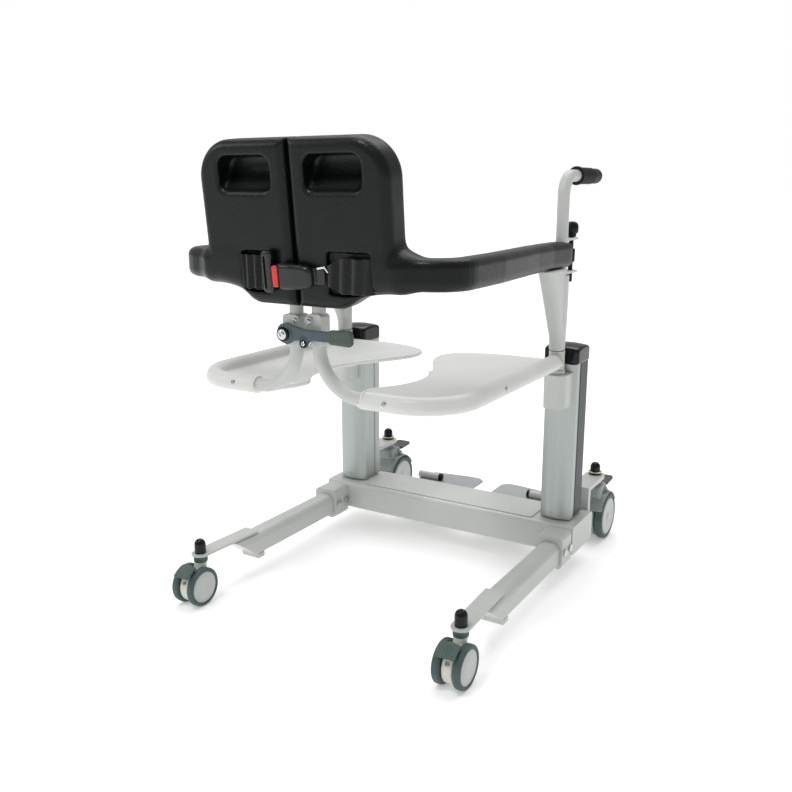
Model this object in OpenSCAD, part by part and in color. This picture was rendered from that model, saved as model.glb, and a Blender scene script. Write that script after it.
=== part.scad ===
// Sit to stand lift: a rolling base, two lifting columns and two swing-apart
// seat halves, each with its own post, handle, armrest and back half.
// Millimetres. +Z up, the person sits facing -Y, and +X is that person's
// left hand. Heights below are drawn from a level floor_z under the floor;
// the finished object stands with the floor at z = 0.

/* [Base] */
// Half width between the wheel stems of the rear casters
stem_x = 243; // [225:1:255]
// Height of the top of the cross beam
beam_top = 111; // [105:1:120]
// Height of the underside of the cross beam
beam_bottom = 58; // [50:1:66]
// Half length of the cross beam
beam_half = 262; // [250:1:275]
// Width of one leg
leg_w = 38; // [34:1:42]
// Diameter of a rear caster wheel
rear_wheel_d = 65; // [62:1:66]
// Diameter of a front caster wheel
front_wheel_d = 90; // [86:1:91]

/* [Lift columns] */
// Half spacing of the two lifting columns
column_x = 217.6; // [210:0.1:222]
// Half width of the outer column
column_half = 28.5; // [27:0.1:30]
// Height of the top of the outer column
column_top = 418; // [400:1:430]
// Top of the fixed inner column
inner_top = 380; // [340:1:385]

/* [Posts] */
// Half spacing of the two pivot posts
post_x = 217; // [212:1:220]
// Outside diameter of the post tube
post_d = 20; // [18:1:22]
// Height of the middle of the push handle
handle_z = 712; // [690:1:730]
// Bend radius of the post
bend_r = 32; // [28:1:40]

/* [Seat and back] */
// Height of the middle of the seat tube
seat_z = 408; // [395:1:415]
// Underside height of the armrest
arm_bottom = 563; // [550:1:575]
// Top height of the armrest
arm_top = 606; // [595:1:615]
// Top height of the back
back_top = 758; // [740:1:770]
// Thickness of one back half
back_t = 50; // [40:1:60]
// Backward lean of the back in degrees
back_lean = 5.6; // [0:0.1:12]
// Gap between the two back halves at the middle
split_gap = 3; // [2:0.5:6]

/* [Hidden] */
$fn = 48;
mid_y = 298.29;
floor_z = 17.5;
run = 0.05;
post_y = -400;
post_r = post_d / 2;
beam_rear = -396;
beam_front = -500;
column_nose = -417;
column_front = -478;
column_r = 54.8;
rear_trail = 16;
front_x = 235;
front_y = -588;
front_trail = 22;
leg_x = 237;
leg_low = 58;
leg_top = 97;
tube_x = 222;
tube_y = 12;
rise_x = 19.5;
rise_r = 68;
corner_r = 75;
back_foot_z = 532;
back_foot_y = 37.2;
latch_z = 494;
hinge_y = -509;
hinge_z = 78;

// A piece in place: s is 1 for the left hand side, -1 for the right.
module at_side(s = 1) {
  translate([0, mid_y, -floor_z])
    if (s > 0) children(); else mirror([1, 0, 0]) children();
}
module both() {
  at_side(1) children();
  at_side(-1) children();
}
// A flat outline with four round corners, from corner a to corner b.
module rounded(a, b, r) {
  translate([a[0] + r, a[1]]) square([b[0] - a[0] - 2 * r, b[1] - a[1]]);
  translate([a[0], a[1] + r]) square([b[0] - a[0], b[1] - a[1] - 2 * r]);
  for (x = [a[0] + r, b[0] - r]) for (y = [a[1] + r, b[1] - r])
    translate([x, y]) circle(r);
}
module block(a, b) {
  translate(a) cube([b[0] - a[0], b[1] - a[1], b[2] - a[2]]);
}
// An outline drawn in the Y, Z plane and swept along X.
module along_x(x0, x1) {
  translate([x0, 0, 0]) rotate([90, 0, 90]) linear_extrude(x1 - x0)
    children();
}
// An outline drawn in the X, Z plane and swept along Y.
module along_y(y0, y1) {
  translate([0, y1, 0]) rotate([90, 0, 0]) linear_extrude(y1 - y0)
    children();
}
module rod_x(x0, x1, y, z, r) {
  translate([x0, y, z]) rotate([0, 90, 0]) cylinder(h = x1 - x0, r = r);
}
module rod_y(y0, y1, x, z, r) {
  translate([x, y1, z]) rotate([90, 0, 0]) cylinder(h = y1 - y0, r = r);
}
module rod_z(z0, z1, x, y, r) {
  translate([x, y, z0]) cylinder(h = z1 - z0, r = r);
}

// ---- base ----
module beam() {
  color("gainsboro") {
    at_side() difference() {
      along_x(-beam_half, beam_half)
        rounded([beam_front, beam_bottom], [beam_rear, beam_top], 8);
      block([-248, beam_front + 8, beam_bottom + 8],
        [248, beam_rear - 8, beam_top - 8]);
    }
    both() {
      for (x = [25, 141])
        block([x, hinge_y - 5, hinge_z - 5], [x + 4, beam_front + 1,
          hinge_z + 5]);
      rod_x(27, 143, hinge_y, hinge_z, 3);
    }
  }
}
module beam_cover() {
  color("whitesmoke") at_side()
    translate([0, 0, beam_top]) linear_extrude(2)
      rounded([-180, beam_front + 10], [180, beam_rear - 10], 6);
}
module leg_outline(g = 0) {
  x0 = leg_x - leg_w / 2 - g;
  x1 = leg_x + leg_w / 2 + g;
  translate([x0, leg_low + 4]) square([x1 - x0, 21]);
  translate([x0 + 4, leg_low - g]) square([x1 - x0 - 8, 10]);
  for (x = [x0 + 4, x1 - 4]) translate([x, leg_low + 4 - g]) circle(4);
  translate([x0 + 14, leg_low + 10])
    square([x1 - x0 - 28, leg_top - leg_low - 10 + g]);
  for (x = [x0 + 14, x1 - 14]) translate([x, leg_top - 14 + g]) circle(14);
}
module leg_sockets() {
  color("gainsboro") both() difference() {
    along_y(beam_rear, -350)
      rounded([213.5, 50], [260.5, 107], 8);
    along_y(beam_rear - 1, -349) leg_outline(0.1);
    for (y = [-387, -362]) rod_x(200, 270, y, 78, 4 + run);
  }
}
// A leg is cut on a slant at its rear end, longest along its top.
module slanted_band(y0, y1) {
  along_x(200, 275)
    polygon([[y0 - 12, 49], [y1 - 12, 49], [y1 + 60, 103], [y0 + 60, 103]]);
}
module legs() {
  color("gainsboro") both() difference() {
    along_y(beam_rear + 0.1, -50) leg_outline();
    along_y(beam_rear, -49)
      rounded([leg_x - leg_w / 2 + 3, leg_low + 3],
        [leg_x + leg_w / 2 - 3, leg_top - 3], 11);
    slanted_band(-121, 0);
    for (y = [-387, -362]) rod_x(200, 270, y, 78, 4 + run);
  }
}
module leg_end_caps() {
  color("lightgray") both() {
    intersection() {
      along_y(-140, -40) leg_outline();
      slanted_band(-121, -117);
    }
    along_x(leg_x - 18, leg_x + 18) polygon([[-136, 50], [-119, 50],
      [-115.5, 60], [-118.33, 60], [-121, 58], [-136, 58]]);
  }
}
module leg_bolts() {
  color("silver") both() for (y = [-387, -362]) {
    rod_x(210, 213.5, y, 78, 6.5);
    rod_x(213.4, 260.6, y, 78, 4);
    rod_x(260.5, 264, y, 78, 6.5);
  }
}
module caster_plates() {
  color("whitesmoke") both() translate([0, 0, leg_top])
    linear_extrude(4) difference() {
      union() {
        polygon([[leg_x - 15, -125], [leg_x + 15, -125],
          [stem_x + 15, 0], [stem_x - 15, 0]]);
        translate([stem_x, 0]) circle(15);
      }
      translate([stem_x, 0]) circle(5 + run);
    }
}
module rear_stem_caps() {
  color("black") both() difference() {
    union() {
      rod_z(leg_top + 4, 116, stem_x, 0, 9.5);
      translate([stem_x, 0, 116]) sphere(9.5);
    }
    rod_z(leg_top, 109, stem_x, 0, 5 + run);
  }
}
module front_uprights() {
  color("whitesmoke") both() {
    block([front_x - 18, beam_front - 12, 60],
      [front_x + 18, beam_front, 152]);
    difference() {
      union() {
        block([front_x - 18, front_y, 144],
          [front_x + 18, beam_front - 11, 152]);
        rod_z(144, 152, front_x, front_y, 18);
      }
      rod_z(142, 154, front_x, front_y, 5 + run);
    }
  }
}
module front_stem_caps() {
  color("black") both() difference() {
    union() {
      rod_z(152, 155, front_x, front_y, 12);
      rod_z(154, 166.5, front_x, front_y, 9.5);
      translate([front_x, front_y, 166.5]) sphere(9.5);
    }
    rod_z(151, 161, front_x, front_y, 5 + run);
  }
}
module inner_columns() {
  color("silver") both() difference() {
    union() {
      block([column_x - 24.4, -472.2, beam_top],
        [column_x + 24.4, -427.5, inner_top]);
      block([column_x - 27, -475, beam_top],
        [column_x + 27, -424, beam_top + 2.6]);
    }
    block([column_x - 21.4, -469.2, beam_top + 5],
      [column_x + 21.4, -430.5, inner_top + 1]);
  }
}
module lift_screws() {
  color("silver") both()
    rod_z(beam_top + 5, inner_top - 6, column_x, -450, 7);
}
module battery_pack() {
  color("dimgray") at_side()
    block([-90, beam_front + 14, beam_bottom + 8],
      [90, beam_rear - 14, beam_top - 14]);
}

// ---- lifting columns ----
module column_outline(g = 0) {
  intersection() {
    translate([column_x, column_nose - column_r]) circle(column_r + g);
    translate([column_x - column_half - g, column_front - g])
      square([2 * column_half + 2 * g, 80]);
  }
}
module outer_column(s) {
  color("silver") at_side(s) difference() {
    translate([0, 0, 114]) linear_extrude(column_top - 114)
      column_outline();
    block([column_x - 24.9, -472.7, 100],
      [column_x + 24.9, -427, 430]);
    for (x = [column_x - column_half - 1, column_x + column_half - 1.5])
      block([x, -462, 100], [x + 2.5, -440, 430]);
  }
}
module column_cap(s) {
  color("black") at_side(s) difference() {
    intersection() {
      translate([0, 0, 397]) linear_extrude(40)
        rounded([column_x - 31.6, column_front - 3],
          [column_x + 31.6, column_nose + 1.5], 9);
      translate([column_x, -447, 430 - 150]) sphere(150, $fn = 96);
    }
    translate([0, 0, 390]) linear_extrude(column_top - 390)
      column_outline(0.05);
  }
}
module pivot_bracket(s) {
  color("whitesmoke") at_side(s) difference() {
    translate([0, 0, 325]) linear_extrude(59)
      rounded([200, -441], [240, -378], 13);
    translate([0, 0, 300]) linear_extrude(100) column_outline(0.05);
    rod_z(330, 400, post_x, post_y, post_r + run);
  }
}

// ---- swing-apart halves ----
module post(s) {
  color("whitesmoke") at_side(s) difference() {
    union() {
      rod_z(331, handle_z - bend_r, post_x, post_y, post_r);
      translate([post_x, post_y - bend_r, handle_z - bend_r])
        rotate([90, 0, 90])
          rotate_extrude(angle = 90) translate([bend_r, 0])
            circle(post_r);
      rod_y(-549.5, post_y - bend_r, post_x, handle_z, post_r);
      rod_z(384.3, 390.5, post_x, post_y, 15);
      for (z = [552, 607]) difference() {
        block([post_x - 9, -455, z], [post_x + 9, post_y, z + 4]);
        rod_z(z - 1, z + 5, post_x, -445, 4 + run);
      }
    }
    rod_z(320, handle_z - bend_r, post_x, post_y, post_r - 2);
    translate([post_x, post_y - bend_r, handle_z - bend_r])
      rotate([90, 0, 90])
        rotate_extrude(angle = 90) translate([bend_r, 0])
          circle(post_r - 2);
    rod_y(-550.5, post_y - bend_r, post_x, handle_z, post_r - 2);
  }
}
module grip(s) {
  color("black") at_side(s) difference() {
    union() {
      rod_y(-549.5, -455, post_x, handle_z, 13);
      translate([post_x, -549.5, handle_z]) sphere(13);
    }
    rod_y(-549.7, -450, post_x, handle_z, post_r + run);
  }
}
module gusset(s) {
  color("whitesmoke") at_side(s) difference() {
    union() {
      rod_z(424, 551.5, post_x, post_y, 13.5);
      along_x(post_x - 10, post_x + 10)
        polygon([[post_y, 424], [-381, 424], [-368, 450],
          [-326, 552], [-326, arm_bottom], [post_y + 2, arm_bottom]]);
    }
    rod_z(420, 570, post_x, post_y, post_r + run);
    block([post_x - 12, -460, 551.5], [post_x + 12, -389.5, 570]);
  }
}
// The bent seat tube: forward along the side, round the rear corner, in
// to the middle and up into the back.
module seat_path(r) {
  rod_y(-388, tube_y - corner_r, tube_x, seat_z, r);
  translate([tube_x - corner_r, tube_y - corner_r, seat_z])
    rotate_extrude(angle = 90) translate([corner_r, 0]) circle(r);
  rod_x(rise_x + rise_r, tube_x - corner_r, tube_y, seat_z, r);
}
module seat_tube(s) {
  color("whitesmoke") at_side(s) difference() {
    union() {
      seat_path(10);
      translate([rise_x + rise_r, tube_y, seat_z + rise_r])
        rotate([90, 0, 0]) rotate([0, 0, 180])
          rotate_extrude(angle = 90) translate([rise_r, 0]) circle(10);
      rod_z(seat_z + rise_r, 598, rise_x, tube_y, 10);
      rod_z(391, 423.5, post_x, post_y, 13.5);
    }
    rod_z(380, 430, post_x, post_y, post_r + run);
  }
}
module seat_outline() {
  difference() {
    union() {
      translate([85, -408]) square([tube_x - 85, 408 + tube_y]);
      translate([66, -345]) circle(45);
      polygon([[66, -390], [110, -408], [110, -300], [66, -300]]);
      polygon([[45, -305], [45, -200], [100, -200], [100, -345]]);
      polygon([[50, -67], [62, -10], [95, tube_y], [110, -67]]);
      translate([45, -200]) square([55, 134]);
    }
    translate([-30, -150]) circle(119, $fn = 96);
    translate([post_x, post_y]) circle(13.7);
    translate([tube_x - 10.1, -410]) square([20, 42]);
    translate([60, tube_y - 10.1]) square([35, 20]);
    difference() {
      translate([tube_x - 40, tube_y - 40]) square([80, 80]);
      translate([tube_x - corner_r, tube_y - corner_r])
        circle(corner_r, $fn = 96);
    }
  }
}
module seat(s) {
  color("white") at_side(s) difference() {
    union() {
      translate([0, 0, seat_z - 10]) linear_extrude(7) seat_outline();
      rod_y(-368, tube_y - corner_r, tube_x, seat_z, 12.5);
      translate([tube_x - corner_r, tube_y - corner_r, seat_z])
        rotate_extrude(angle = 90) translate([corner_r, 0])
          circle(12.5);
      rod_x(95, tube_x - corner_r, tube_y, seat_z, 12.5);
    }
    rod_y(-440, tube_y - corner_r, tube_x, seat_z, 10 + run);
    translate([tube_x - corner_r, tube_y - corner_r, seat_z])
      rotate_extrude(angle = 90) translate([corner_r, 0])
        circle(10 + run);
    rod_x(40, tube_x - corner_r, tube_y, seat_z, 10 + run);
    // an upright wall where the rim meets the plate, so a pad lies flat
    block([tube_x - 12.7, -380, seat_z - 3],
      [tube_x - 12.1, tube_y - corner_r, seat_z + 5]);
    translate([tube_x - corner_r, tube_y - corner_r, seat_z - 3])
      rotate_extrude(angle = 90) translate([corner_r - 12.7, 0])
        square([0.6, 8]);
    block([90, tube_y - 12.7, seat_z - 3],
      [tube_x - corner_r, tube_y - 12.1, seat_z + 5]);
    translate([rise_x + rise_r, tube_y, seat_z + rise_r])
      rotate([90, 0, 0]) rotate([0, 0, 180])
        rotate_extrude(angle = 90) translate([rise_r, 0])
          circle(10 + run);
  }
}
// Moves things drawn on the leaning rear face of the back into place:
// local y = 0 is that face, local z is the height above its foot.
module leaning() {
  translate([0, back_foot_y, back_foot_z]) rotate([-back_lean, 0, 0])
    translate([0, 0, -back_foot_z]) children();
}
module back_outline() {
  x0 = split_gap / 2;
  polygon([[x0, 533], [70, 533], [92, 538], [115, 550], [140, 562],
    [156, 564], [156, 640], [x0, 640]]);
  translate([x0, 600]) square([156 - x0, back_top - 55 - 600]);
  translate([x0, 600]) square([101 - x0, back_top - 600]);
  translate([101, back_top - 55]) circle(55, $fn = 96);
}
module arm_plan() {
  polygon([[230, -416], [228, -330], [233, -233], [242, -140],
    [242, -34], [206, -34], [206, -140], [197, -233], [193, -330],
    [200, -416]]);
  intersection() {
    difference() {
      translate([180, -34]) circle(62, $fn = 96);
      translate([180, -34]) circle(26);
    }
    translate([180, -34]) square([80, 80]);
  }
  translate([100, -8]) square([80.1, 36]);
}
module back_arm(s) {
  color("black") at_side(s) difference() {
    union() {
      leaning() along_y(-back_t, 0) back_outline();
      intersection() {
        translate([0, 0, 540]) linear_extrude(120) arm_plan();
        along_y(-430, 60) polygon([[90, arm_bottom], [250, arm_bottom],
          [250, arm_top], [206, arm_top], [190, 611], [172, 622],
          [160, 645], [90, 650]]);
      }
    }
    leaning() along_y(-26, 1) rounded([28, 684], [118, 734], 14);
    rod_z(500, 598, rise_x, tube_y, 10 + run);
    rod_z(540, 620, post_x, post_y, post_r + run);
  }
}
module arm_screws(s) {
  color("dimgray") at_side(s) {
    rod_z(arm_bottom - 2.5, arm_bottom, 216, -118, 4);
    rod_z(arm_bottom - 2.5, arm_bottom, 213, -250, 4);
  }
}
module belt_strap_left() {
  color("black") at_side(1) leaning()
    block([40, 0, 555], [88, 2.5, 603]);
}
module belt_tongue() {
  color("black") at_side(1) leaning() {
    block([26, 2.5, 555], [46, 12, 611]);
    block([9, 8, 567], [27, 11, 589]);
  }
}
module belt_strap_right() {
  color("black") at_side(-1) leaning()
    block([59, 0, 558], [121, 2.5, 606]);
}
module belt_buckle() {
  color("black") at_side(1) leaning() difference() {
    union() {
      along_y(3, 19) rounded([-38, 560], [21, 596], 7);
      block([-68, 2.5, 570], [-37, 5, 592]);
    }
    block([5, 7, 565], [22, 12, 591]);
    block([11, 12.5, 562.7], [22, 18.8, 593.3]);
  }
}
module buckle_button() {
  color("red") at_side(1) leaning()
    block([14.5, 12.8, 563], [24, 18.5, 593]);
}
module latch_block() {
  color("whitesmoke") at_side(1) difference() {
    union() {
      along_y(0, 26) rounded([7, 477], [34, 520], 5);
      rod_y(26, 33, 22, latch_z, 9);
    }
    rod_z(460, 530, rise_x, tube_y, 10 + run);
    rod_y(22.5, 40, 22, latch_z, 4 + run);
    block([24, -5, 460], [40, 4, 520]);
  }
}
module latch_bolts() {
  color("silver") at_side(1) {
    rod_y(22.6, 39.6, 22, latch_z, 4);
    rod_y(39.5, 45, 22, latch_z, 7.5);
  }
}
module latch_keeper() {
  color("whitesmoke") at_side(-1) difference() {
    union() {
      along_y(0, 25) rounded([7, 477], [32, 523], 5);
      rod_y(25, 30, 13, 514, 5.5);
      rod_y(25, 30, 13, 484, 6);
    }
    rod_z(460, 530, rise_x, tube_y, 10 + run);
    block([24, -5, 460], [40, 4, 530]);
  }
}
module latch_lever() {
  color("darkslategray") at_side(1) difference() {
    union() {
      along_y(34, 38) polygon([[28, 481], [33, 490], [32, 502], [24, 510],
        [14, 509], [2, 504], [-52, 501], [-52, 486], [6, 487], [14, 482]]);
      rod_y(33.4, 39, 22, latch_z, 9.5);
    }
    rod_y(30, 45, 22, latch_z, 4 + run);
  }
}
module lever_grip() {
  color("darkslategray") at_side(1)
    along_y(38, 42) rounded([-86, 483], [-30, 504], 6);
}
module plunger(s) {
  color("black") at_side(s) {
    rod_z(538, 616, post_x, -445, 4);
    rod_z(612, 618, post_x, -445, 8);
    rod_z(617, 637, post_x, -445, 11);
    rod_z(570, 592, post_x, -445, 7);
  }
}

// ---- footplates ----
module footplate(s) {
  color("lightgray") at_side(s) {
    difference() {
      union() {
        translate([0, 0, hinge_z - 2]) linear_extrude(4) union() {
          polygon([[22, -518], [150, -518], [150, -600], [138, -628],
            [60, -640], [34, -640], [22, -628]]);
        }
        block([31, -519, hinge_z - 2], [139, hinge_y, hinge_z + 2]);
        rod_x(31, 139, hinge_y, hinge_z, 6);
      }
      rod_x(20, 150, hinge_y, hinge_z, 3 + run);
    }
    rod_x(100, 152, -585, hinge_z + 8.9, 7);
  }
}

// ---- casters, drawn round their own stem at x = 0, y = 0 ----
module at_rear(s) {
  at_side(s) translate([stem_x, 0, 0]) children();
}
module at_front(s) {
  at_side(s) translate([front_x, front_y, 0]) mirror([0, 1, 0]) children();
}
module wheel_pair(d, x0, x1, y, cap_r, axle_r) {
  r = d / 2;
  z = floor_z + r;
  for (m = [0, 1]) mirror([m, 0, 0]) difference() {
    translate([0, y, z]) rotate([0, 90, 0]) rotate_extrude($fn = 72)
      polygon([[0, x0], [r - 2.5, x0], [r, x0 + 2.5], [r, x1 - 2.5],
        [r - 2.5, x1], [0, x1]]);
    rod_x(x1 - 1.5, x1 + 1, y, z, cap_r);
  }
  rod_x(-x0 - 1, x0 + 1, y, z, axle_r);
}
module rear_fork(s) {
  y = rear_trail;
  z = floor_z + rear_wheel_d / 2;
  color("whitesmoke") at_rear(s) difference() {
    union() {
      rod_z(80, 96.8, 0, 0, 9.5);
      rod_z(90, 108, 0, 0, 5);
      block([-9, -9, 59.5], [9, 9, 86]);
      rod_x(-9, 9, y, z, 21.5);
      block([-9, -9, 47.5], [9, 12, 67.5]);
      for (x = [-9.5, 7]) block([x, 5, 65.5], [x + 2.5, 22, 81.5]);
      rod_x(-8, 8, 18, 77.5, 2);
    }
    rod_x(-12, 12, y, z, 4 + run);
  }
}
module rear_wheels(s) {
  color("slategray") at_rear(s)
    wheel_pair(rear_wheel_d, 10, 22.5, rear_trail, 25, 4);
}
module rear_brake(s) {
  color("slategray") at_rear(s) difference() {
    translate([0, 18, 77.5]) rotate([-15, 0, 0]) union() {
      rod_x(-6.5, 6.5, 0, 0, 4.2);
      block([-6.5, 0, 0], [6.5, 9, 11.5]);
      block([-15, 7, 8], [15, 29, 11.5]);
    }
    rod_x(-12, 12, 18, 77.5, 2 + run);
  }
}
module front_fork(s) {
  y = front_trail;
  z = floor_z + front_wheel_d / 2;
  color("lightgray") at_front(s) difference() {
    union() {
      rod_z(124, 143.8, 0, 0, 11);
      rod_z(142, 160, 0, 0, 5);
      block([-8.5, -12, 87.5], [8.5, 12, 110.5]);
      block([-11, -12, 109.5], [11, 12, 133.5]);
      rod_x(-8, 8, y, z, 36);
      intersection() {
        rod_x(-8, 8, y, z, 49);
        block([-12, -60, 73.5], [12, 100, 127.5]);
      }
      intersection() {
        difference() {
          rod_x(-26, 26, y, z, 49.5);
          rod_x(-27, 27, y, z, 46.5);
        }
        block([-27, -60, 85.5], [27, 100, 127.5]);
      }
      for (x = [-12, 9]) block([x, 8, 109.5], [x + 3, 26, 128.5]);
      rod_x(-10, 10, 20, 121.5, 2.5);
    }
    rod_x(-34, 34, y, z, 5 + run);
  }
}
module front_wheels(s) {
  color("gray") at_front(s)
    wheel_pair(front_wheel_d, 9.5, 25, front_trail, 34, 5);
}
module front_brake(s) {
  color("dimgray") at_front(s) difference() {
    translate([0, 20, 121.5]) rotate([3, 0, 0]) union() {
      rod_x(-8.5, 8.5, 0, 0, 5);
      block([-8.5, 0, 0], [8.5, 12, 5]);
      block([-16, 9, 0], [16, 51, 6]);
    }
    rod_x(-12, 12, 20, 121.5, 2.5 + run);
  }
}

beam();
beam_cover();
leg_sockets();
legs();
leg_end_caps();
leg_bolts();
caster_plates();
rear_stem_caps();
front_uprights();
front_stem_caps();
inner_columns();
lift_screws();
battery_pack();
outer_column(1);  // outer_column_left
outer_column(-1);  // outer_column_right
column_cap(1);  // column_cap_left
column_cap(-1);  // column_cap_right
pivot_bracket(1);  // pivot_bracket_left
pivot_bracket(-1);  // pivot_bracket_right
post(1);  // post_left
post(-1);  // post_right
grip(1);  // grip_left
grip(-1);  // grip_right
gusset(1);  // gusset_left
gusset(-1);  // gusset_right
seat_tube(1);  // seat_tube_left
seat_tube(-1);  // seat_tube_right
seat(1);  // seat_left
seat(-1);  // seat_right
back_arm(1);  // back_arm_left
back_arm(-1);  // back_arm_right
arm_screws(1);  // arm_screws_left
arm_screws(-1);  // arm_screws_right
belt_strap_left();
belt_strap_right();
belt_tongue();
belt_buckle();
buckle_button();
latch_block();
latch_bolts();
latch_keeper();
latch_lever();
lever_grip();
plunger(1);  // plunger_left
plunger(-1);  // plunger_right
footplate(1);  // footplate_left
footplate(-1);  // footplate_right
rear_fork(1);  // rear_left_fork
rear_wheels(1);  // rear_left_wheels
rear_brake(1);  // rear_left_brake
rear_fork(-1);  // rear_right_fork
rear_wheels(-1);  // rear_right_wheels
rear_brake(-1);  // rear_right_brake
front_fork(1);  // front_left_fork
front_wheels(1);  // front_left_wheels
front_brake(1);  // front_left_brake
front_fork(-1);  // front_right_fork
front_wheels(-1);  // front_right_wheels
front_brake(-1);  // front_right_brake
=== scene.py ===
import math

import bmesh
import bpy
import numpy as np
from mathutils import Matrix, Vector


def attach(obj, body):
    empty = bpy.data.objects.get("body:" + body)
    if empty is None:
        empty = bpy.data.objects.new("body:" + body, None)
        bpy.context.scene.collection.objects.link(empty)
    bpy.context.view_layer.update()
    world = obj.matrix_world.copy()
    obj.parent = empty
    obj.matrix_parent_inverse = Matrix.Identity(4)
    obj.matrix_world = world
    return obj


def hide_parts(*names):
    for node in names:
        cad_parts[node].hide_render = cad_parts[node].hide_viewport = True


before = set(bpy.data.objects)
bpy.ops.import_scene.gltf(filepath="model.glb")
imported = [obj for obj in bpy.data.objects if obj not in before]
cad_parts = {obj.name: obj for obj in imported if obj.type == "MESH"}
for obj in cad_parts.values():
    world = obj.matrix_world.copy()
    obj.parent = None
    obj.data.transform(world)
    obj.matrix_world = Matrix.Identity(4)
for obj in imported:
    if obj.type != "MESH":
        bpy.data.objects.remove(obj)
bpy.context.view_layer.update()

# Shapes below are drawn in millimetres, with y = 0 at the stems of the rear
# casters and the floor at z = 17.5. place() turns them into the row frame, in
# metres.
MID_Y = 298.29
FLOOR_Z = 17.5
LEAN = math.radians(5.6)
BACK_FOOT = (37.2, 532.0)
SIDES = (("left", 1), ("right", -1))


# ---------------------------------------------------------------- materials
def material(name, colour, rough, metal=0.0, grain=0.0, grain_size=2.0,
             mottle=0.0, mottle_size=30.0, coat=0.0, specular=0.5, sheen=0.0,
             stretch=(1, 1, 1), relief=0.15, ribs=0.0):
    """A procedural material: grain is a fine bump of grain_size mm, mottle a
    broad change of tone, stretch draws the grain out along an axis, ribs
    is the pitch in mm of woven ribs."""
    m = bpy.data.materials.new(name)
    m.use_nodes = True
    nodes, links = m.node_tree.nodes, m.node_tree.links
    shader = nodes["Principled BSDF"]
    shader.inputs["Roughness"].default_value = rough
    shader.inputs["Metallic"].default_value = metal
    shader.inputs["Coat Weight"].default_value = coat
    shader.inputs["Coat Roughness"].default_value = 0.12
    shader.inputs["Specular IOR Level"].default_value = specular
    shader.inputs["Sheen Weight"].default_value = sheen
    where = nodes.new("ShaderNodeTexCoord")
    mapping = nodes.new("ShaderNodeMapping")
    mapping.inputs["Scale"].default_value = stretch
    links.new(where.outputs["Object"], mapping.inputs["Vector"])

    def noise(size, detail):
        n = nodes.new("ShaderNodeTexNoise")
        n.inputs["Scale"].default_value = 1000.0 / size
        n.inputs["Detail"].default_value = detail
        links.new(mapping.outputs["Vector"], n.inputs["Vector"])
        return n.outputs["Fac"]

    base = (*colour, 1.0)
    shader.inputs["Base Color"].default_value = base
    if mottle:
        ramp = nodes.new("ShaderNodeValToRGB")
        ramp.color_ramp.elements[0].position = 0.3
        ramp.color_ramp.elements[1].position = 0.7
        ramp.color_ramp.elements[0].color = (
            *[c * (1 - mottle) for c in colour], 1.0)
        ramp.color_ramp.elements[1].color = (
            *[min(1.0, c * (1 + mottle)) for c in colour], 1.0)
        links.new(noise(mottle_size, 4.0), ramp.inputs["Fac"])
        links.new(ramp.outputs["Color"], shader.inputs["Base Color"])
        spread = nodes.new("ShaderNodeMapRange")
        spread.inputs["To Min"].default_value = max(0.02, rough - 0.07)
        spread.inputs["To Max"].default_value = min(1.0, rough + 0.07)
        links.new(noise(mottle_size * 0.6, 3.0), spread.inputs["Value"])
        links.new(spread.outputs["Result"], shader.inputs["Roughness"])
    if grain:
        bump = nodes.new("ShaderNodeBump")
        bump.inputs["Strength"].default_value = grain
        bump.inputs["Distance"].default_value = 0.001 * relief
        links.new(noise(grain_size, 2.0), bump.inputs["Height"])
        links.new(bump.outputs["Normal"], shader.inputs["Normal"])
        if ribs:
            wave = nodes.new("ShaderNodeTexWave")
            wave.bands_direction = "Z"
            wave.inputs["Scale"].default_value = 314.0 / ribs
            wave.inputs["Distortion"].default_value = 0.4
            links.new(mapping.outputs["Vector"], wave.inputs["Vector"])
            rib = nodes.new("ShaderNodeBump")
            rib.inputs["Strength"].default_value = 0.8
            rib.inputs["Distance"].default_value = 0.0006
            links.new(wave.outputs["Fac"], rib.inputs["Height"])
            links.new(bump.outputs["Normal"], rib.inputs["Normal"])
            links.new(rib.outputs["Normal"], shader.inputs["Normal"])
    return m


PAINT = material("paint", (0.52, 0.535, 0.512), 0.34, grain=0.30,
                 grain_size=2.5, mottle=0.025, mottle_size=60, coat=0.1,
                 specular=0.4)
FOAM = material("foam", (0.0026, 0.0042, 0.0040), 0.33, grain=1.0,
                grain_size=2.6, mottle=0.25, mottle_size=40, specular=0.20,
                relief=0.60, coat=0.10)
SEAT = material("seat", (0.67, 0.68, 0.655), 0.36, grain=0.12,
                grain_size=3.0, mottle=0.02, mottle_size=80, specular=0.4)
ALUMINIUM = material("aluminium", (0.40, 0.43, 0.415), 0.42, metal=0.75,
                     grain=0.25, grain_size=1.0, stretch=(1, 1, 0.02),
                     mottle=0.06, mottle_size=8)
# Near-black for the columns' outer sides: painted reflection, the aluminium side
# drawn dark as though it mirrored a dark room.
PAINTED_REFLECTION = material("column_side", (0.030, 0.038, 0.039), 0.42, metal=0.3,
                      grain=0.2, grain_size=1.0, stretch=(1, 1, 0.02),
                      mottle=0.12, mottle_size=10, specular=0.4)
BLACK = material("black_plastic", (0.0060, 0.0066, 0.0082), 0.36, grain=0.4,
                 grain_size=1.2, mottle=0.14, mottle_size=20, specular=0.2)
SHINY_BLACK = material("shiny_black", (0.0040, 0.0048, 0.0080), 0.17,
                       grain=0.05, grain_size=3.0, mottle=0.12,
                       mottle_size=20, coat=0.12, specular=0.2)
RUBBER = material("grip_rubber", (0.0070, 0.0074, 0.0080), 0.55, grain=0.6,
                  grain_size=1.4, mottle=0.15, mottle_size=12, specular=0.3)
CHROME = material("chrome", (0.58, 0.59, 0.60), 0.16, metal=1.0,
                  grain=0.1, grain_size=1.5, mottle=0.06, mottle_size=10)
SCREW = material("screw_steel", (0.36, 0.36, 0.37), 0.34, metal=1.0,
                 grain=0.2, grain_size=0.8, mottle=0.08, mottle_size=6)
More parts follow.
